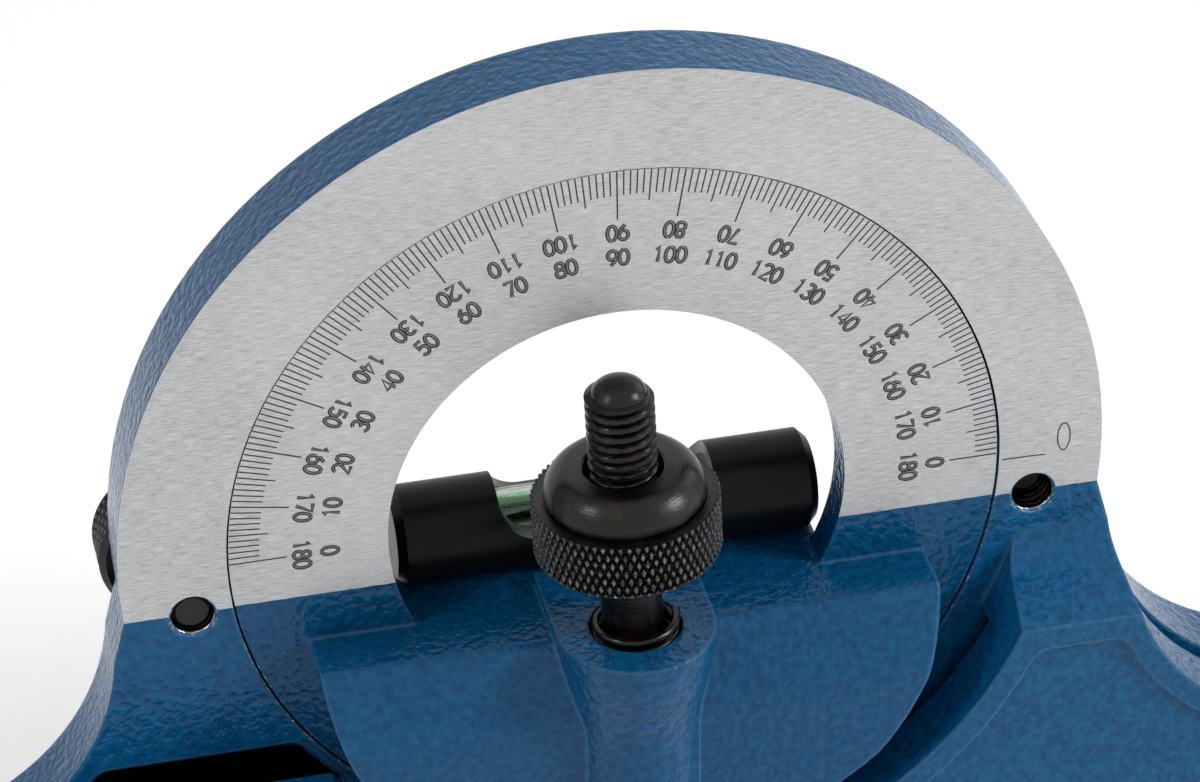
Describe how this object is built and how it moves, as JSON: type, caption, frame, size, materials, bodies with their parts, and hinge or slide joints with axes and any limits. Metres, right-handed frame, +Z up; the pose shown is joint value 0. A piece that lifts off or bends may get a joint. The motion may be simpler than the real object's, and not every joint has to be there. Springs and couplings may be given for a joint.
{
  "type": "combination square protractor head",
  "caption": "Protractor head of a combination square: flat-based cast frame, turning turret with a degree scale, blade slot, knurled clamp nut, spirit level and rear lock screws.",
  "frame": {"origin": "on the base face, below the middle of the turret, at the middle of the arch plate's thickness", "axes": "+X along the base to the right as the scale is read, +Y away from the reader toward the lock screws, +Z up from the base face"},
  "size_m": [0.133, 0.0314, 0.0893],
  "materials": {
    "blue_enamel": "glossy hammered enamel, ground bare on the scale face",
    "turret_enamel": "glossy hammered enamel, ground bare on the scale face",
    "black_oxide_steel": "black oxide, polished",
    "spring_steel": "drawn wire",
    "zinc_steel": "bright zinc",
    "black_tube": "semi-matt black",
    "vial_glass": "clear",
    "level_spirit": "clear tinted",
    "plaster": "matt setting compound",
    "black_plug": "semi-matt"
  },
  "bodies": {
    "frame": {"frame": "blue_enamel"},
    "turret": {"turret": "turret_enamel", "clamp_spring": "spring_steel", "level_tube": "black_tube", "level_plug_left": "black_plug", "level_plug_right": "black_plug", "level_vial": "vial_glass", "level_liquid": "level_spirit", "level_bedding": "plaster", "level_screw_left": "zinc_steel", "level_screw_right": "zinc_steel"},
    "clamp_bolt": {"clamp_bolt": "black_oxide_steel"},
    "clamp_nut": {"clamp_nut": "black_oxide_steel"},
    "lock_washer_left": {"lock_washer_left": "zinc_steel"},
    "lock_screw_left": {"lock_screw_left": "black_oxide_steel"},
    "lock_washer_right": {"lock_washer_right": "zinc_steel"},
    "lock_screw_right": {"lock_screw_right": "black_oxide_steel"}
  },
  "joints": [
    {"name": "turret_swivel", "type": "hinge", "parent": "frame", "child": "turret", "pos_m": [0, 0, 0.0445], "axis": [0, -1, 0], "continuous": true},
    {"name": "bolt_lift", "type": "slide", "parent": "turret", "child": "clamp_bolt", "axis": [-0.0384, 0, 0.9993], "range_m": [-0.0025, 0.0006]},
    {"name": "nut_turn", "type": "hinge", "parent": "clamp_bolt", "child": "clamp_nut", "pos_m": [0, -0.0096, 0.0302], "axis": [-0.0384, 0, 0.9993], "range_deg": [-2160, 1440]},
    {"name": "lock_left_travel", "type": "slide", "parent": "frame", "child": "lock_washer_left", "axis": [0, 1, 0], "range_m": [0, 0.0021]},
    {"name": "lock_left_turn", "type": "hinge", "parent": "lock_washer_left", "child": "lock_screw_left", "pos_m": [-0.0385, 0, 0.0397], "axis": [0, 1, 0], "range_deg": [0, 1080]},
    {"name": "lock_right_travel", "type": "slide", "parent": "frame", "child": "lock_washer_right", "axis": [0, 1, 0], "range_m": [-0.0021, 0.0021]},
    {"name": "lock_right_turn", "type": "hinge", "parent": "lock_washer_right", "child": "lock_screw_right", "pos_m": [0.0385, 0, 0.0397], "axis": [0, 1, 0], "range_deg": [-1080, 1080]}
  ],
  "couplings": [
    {"joint": "lock_left_turn", "follows": "lock_left_travel", "rad_per_m": 8976},
    {"joint": "lock_right_turn", "follows": "lock_right_travel", "rad_per_m": 8976}
  ]
}
